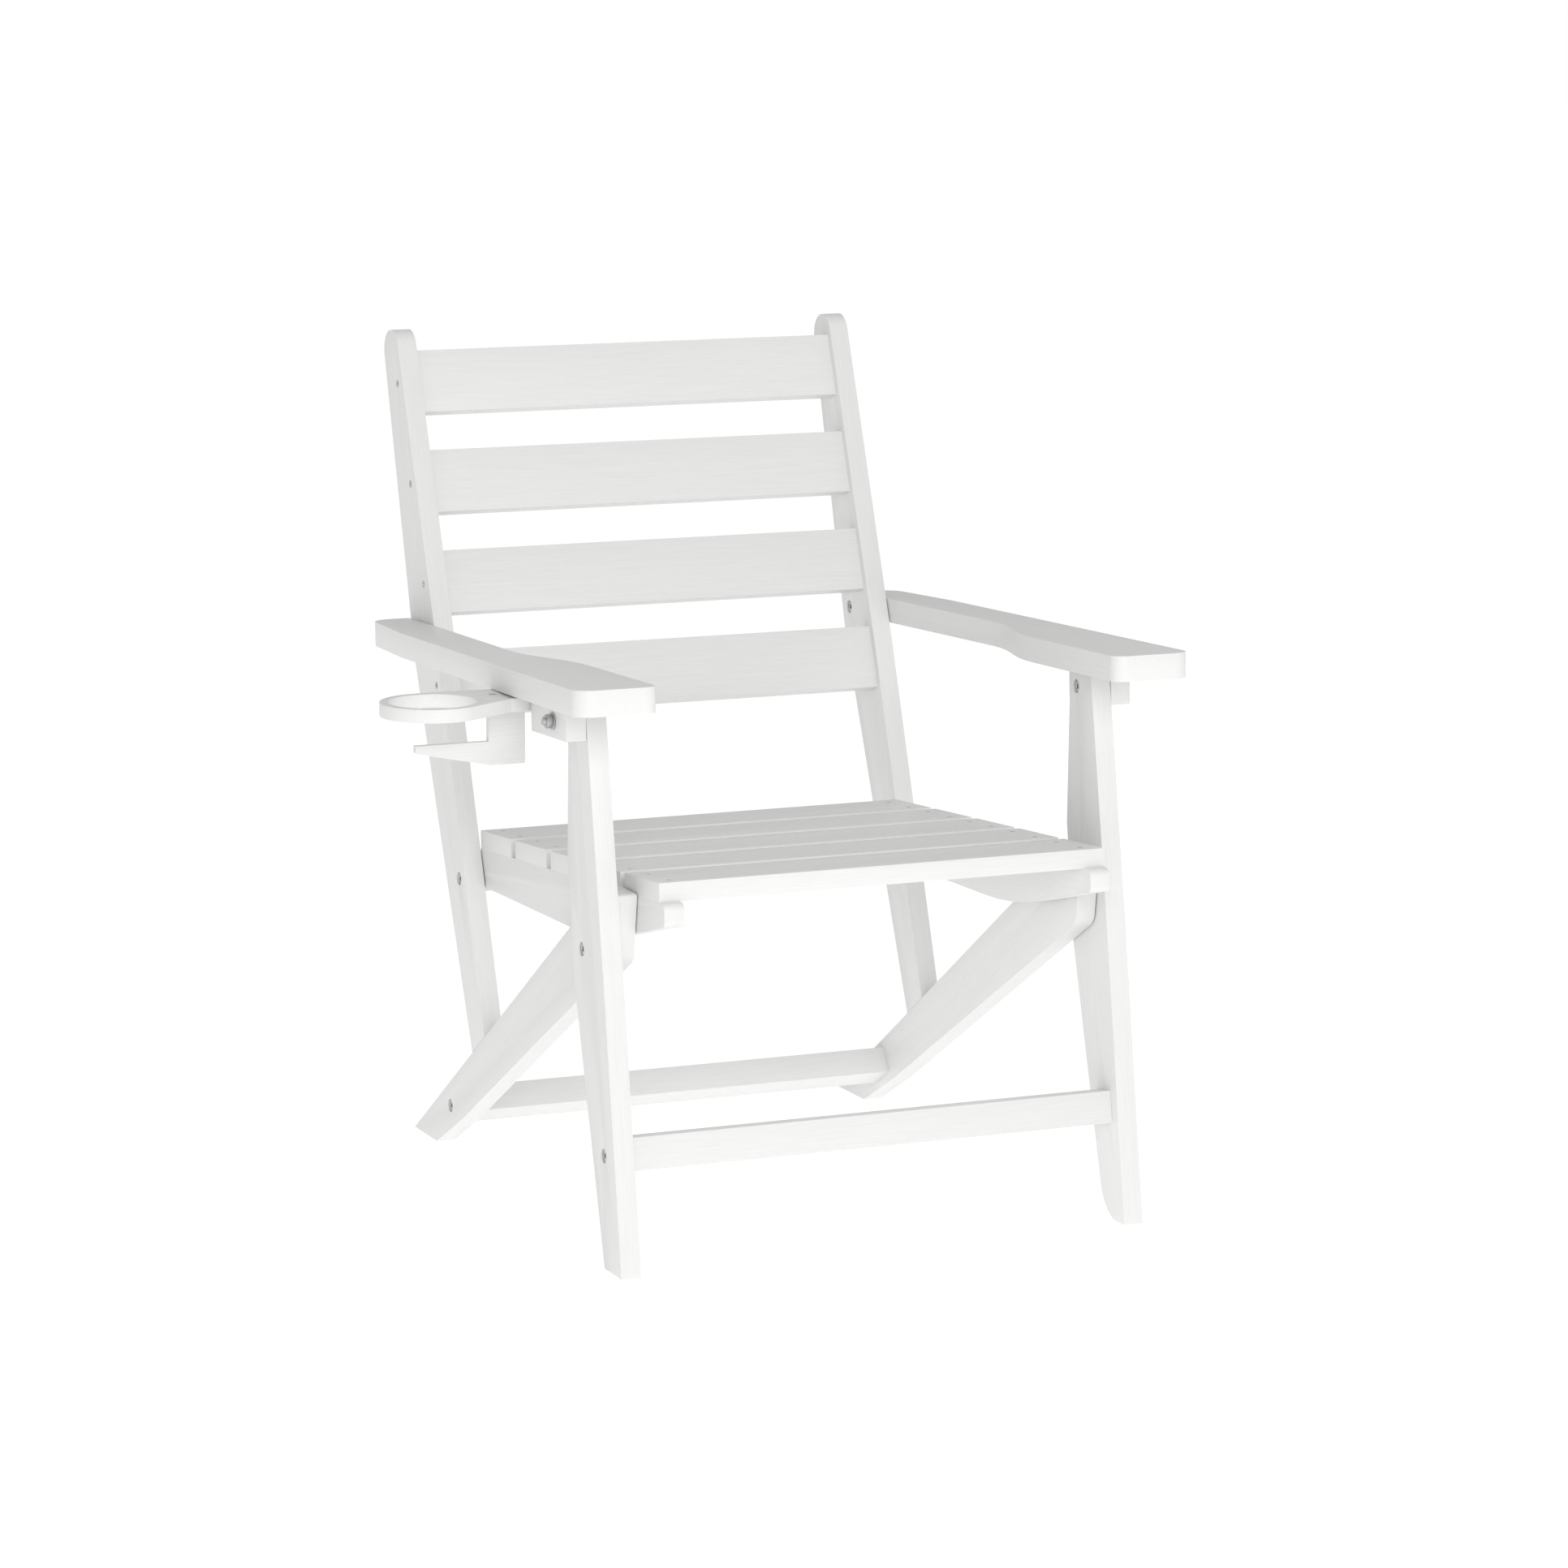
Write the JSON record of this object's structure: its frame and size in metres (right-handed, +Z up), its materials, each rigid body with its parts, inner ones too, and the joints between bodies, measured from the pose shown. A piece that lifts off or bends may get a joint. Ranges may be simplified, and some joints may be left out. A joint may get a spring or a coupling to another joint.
{
  "type": "adirondack chair",
  "caption": "Folding Adirondack armchair of flat plastic-lumber boards: slatted seat and leaning slatted back, wide arms, legs crossed under the seat, and a cup ring beside one arm.",
  "frame": {"origin": "on the floor, under the middle of the whole chair's box, with the cup ring in the box", "axes": "+Z up; +Y towards the chair's back; the sitter faces -Y; the cup ring is on the -X side"},
  "size_m": [0.8184, 0.7878, 0.903],
  "materials": {
    "board": "white plastic lumber, satin, with a faint grain along each board",
    "steel": "stainless steel"
  },
  "bodies": {
    "seat": {"left_seat_rail": "board", "right_seat_rail": "board", "seat_slat_1": "board", "seat_slat_2": "board", "seat_slat_3": "board", "seat_slat_4": "board", "seat_slat_5": "board", "left_rear_leg": "board", "right_rear_leg": "board", "rear_stretcher": "board", "rear_stretcher_bolts": "steel", "rear_stretcher_nuts": "steel", "seat_slat_screws": "steel", "rear_leg_screws": "steel", "rear_leg_spacers": "steel", "seat_pivot_bolts": "steel", "seat_pivot_nuts": "steel", "seat_pivot_washers": "steel", "leg_pivot_bolts": "steel", "leg_pivot_nuts": "steel", "leg_pivot_washers": "steel"},
    "back": {"left_back_post": "board", "right_back_post": "board", "back_slat_1": "board", "back_slat_2": "board", "back_slat_3": "board", "back_slat_4": "board", "back_slat_screws": "steel", "arm_pivot_bolts": "steel", "arm_pivot_washers": "steel"},
    "front_legs": {"left_front_leg": "board", "right_front_leg": "board", "front_stretcher": "board", "front_stretcher_bolts": "steel", "front_stretcher_nuts": "steel", "front_pivot_bolts": "steel", "front_pivot_nuts": "steel", "front_pivot_washers": "steel"},
    "left_arm": {"left_arm": "board", "left_arm_block": "board", "cup_ring": "board", "cup_hook": "board", "left_block_screws": "steel", "left_arm_insert": "steel", "cup_ring_screws": "steel", "cup_hook_screws": "steel"},
    "right_arm": {"right_arm": "board", "right_arm_block": "board", "right_block_screws": "steel", "right_arm_insert": "steel"}
  },
  "joints": [
    {"name": "back_fold", "type": "hinge", "parent": "seat", "child": "back", "pos_m": [0.06555, 0.1591, 0.31619], "axis": [1, 0, 0], "range_deg": [0, 35]},
    {"name": "front_leg_fold", "type": "hinge", "parent": "seat", "child": "front_legs", "pos_m": [0.06555, -0.27928, 0.3236], "axis": [1, 0, 0], "range_deg": [0, 41.24]},
    {"name": "left_arm_fold", "type": "hinge", "parent": "back", "child": "left_arm", "pos_m": [-0.21445, 0.2891, 0.5725], "axis": [1, 0, 0], "range_deg": [-27.44, 0]},
    {"name": "right_arm_fold", "type": "hinge", "parent": "back", "child": "right_arm", "pos_m": [0.34555, 0.2891, 0.5725], "axis": [1, 0, 0], "range_deg": [-27.44, 0]}
  ],
  "couplings": [
    {"joint": "front_leg_fold", "follows": "back_fold", "ratio": 1.1769},
    {"joint": "left_arm_fold", "follows": "back_fold", "ratio": -0.7825},
    {"joint": "right_arm_fold", "follows": "back_fold", "ratio": -0.7825}
  ]
}
